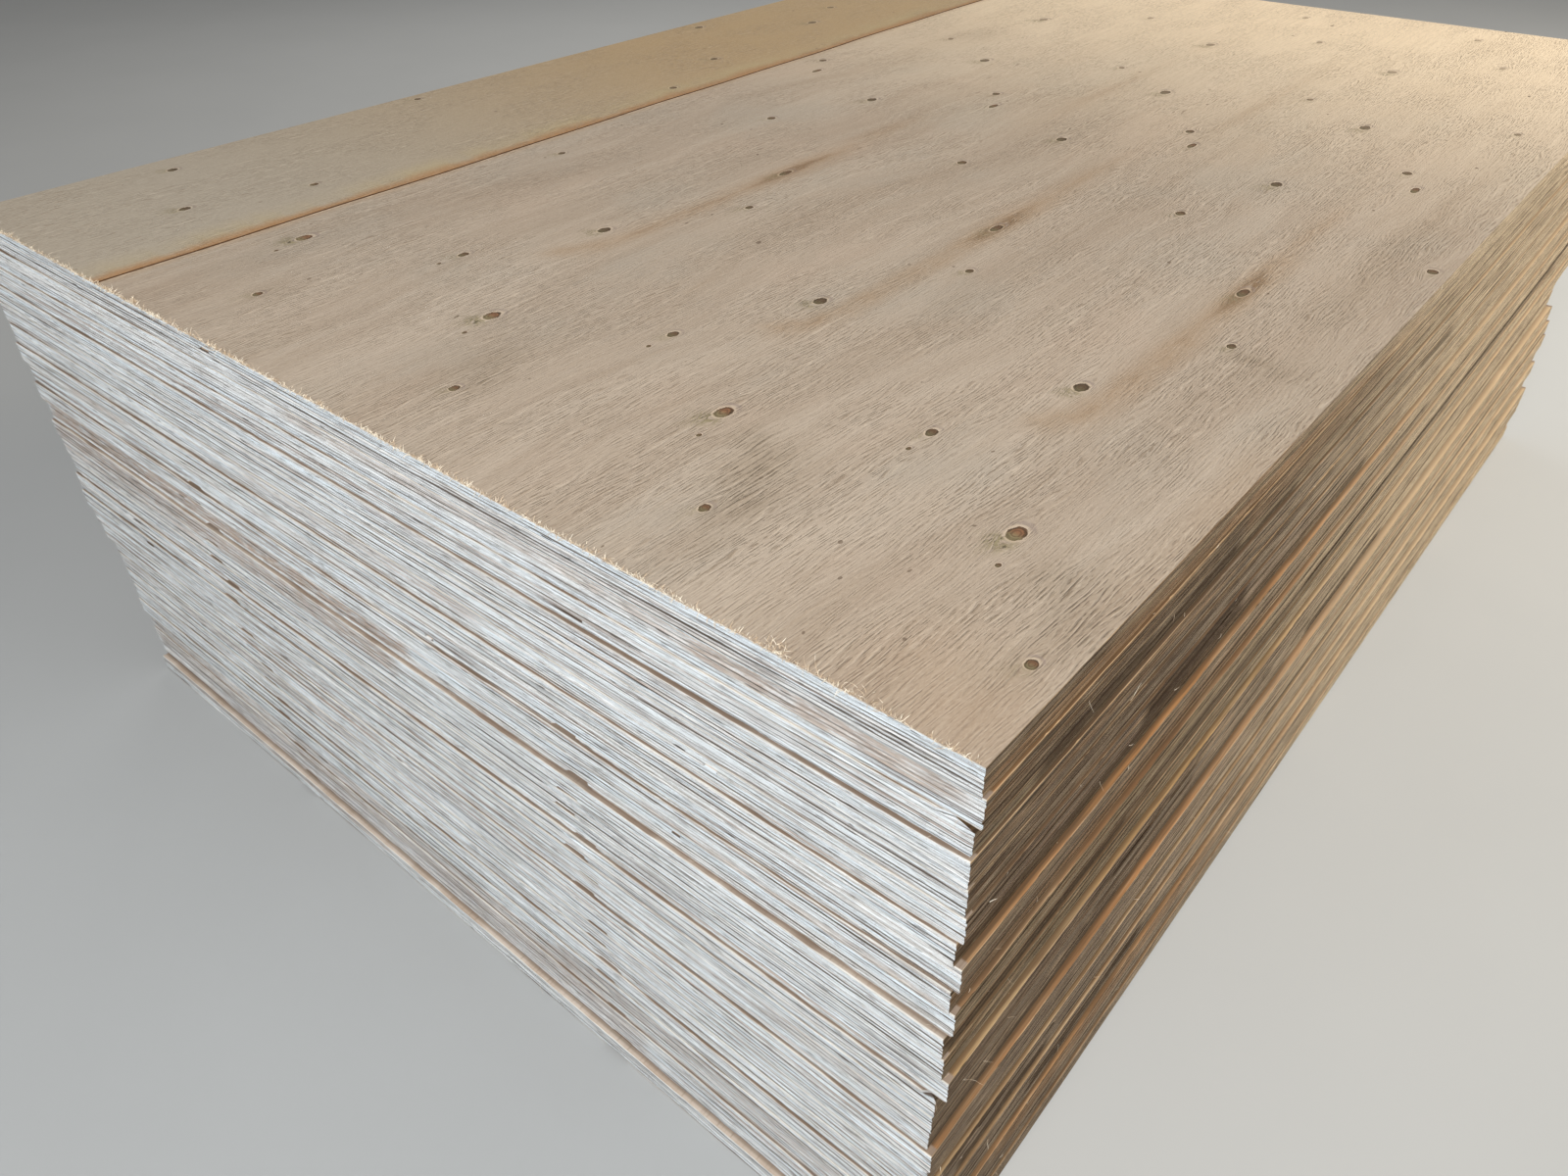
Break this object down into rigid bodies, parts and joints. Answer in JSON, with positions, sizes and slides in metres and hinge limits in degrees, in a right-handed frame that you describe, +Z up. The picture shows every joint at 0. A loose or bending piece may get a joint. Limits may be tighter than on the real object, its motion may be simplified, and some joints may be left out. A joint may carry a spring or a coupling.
{
  "type": "stack of plywood sheets",
  "caption": "Loose stack of thick softwood plywood sheets, laid flat and slightly out of line, with pale sealed ends and raw long sides.",
  "frame": {"origin": "middle of the stack's box, on the floor it lies on", "axes": "+Z up through the sheets, +Y along the sheets' long side and the grain of their faces; the pale sealed end in view is at -Y and the raw long side in view is at +X"},
  "size_m": [1.2396, 1.8026, 0.624],
  "materials": {
    "plywood": "unsanded rotary-cut softwood veneer"
  },
  "bodies": {
    "root": {"sheet_01": "plywood", "sheet_02": "plywood", "sheet_03": "plywood", "sheet_04": "plywood", "sheet_05": "plywood", "sheet_06": "plywood", "sheet_07": "plywood", "sheet_08": "plywood", "sheet_09": "plywood", "sheet_10": "plywood", "sheet_11": "plywood", "sheet_12": "plywood", "sheet_13": "plywood", "sheet_14": "plywood", "sheet_15": "plywood", "sheet_16": "plywood", "sheet_17": "plywood", "sheet_18": "plywood", "sheet_19": "plywood", "sheet_20": "plywood", "sheet_21": "plywood", "sheet_22": "plywood", "sheet_23": "plywood", "sheet_24": "plywood", "sheet_25": "plywood", "sheet_26": "plywood"}
  },
  "joints": []
}
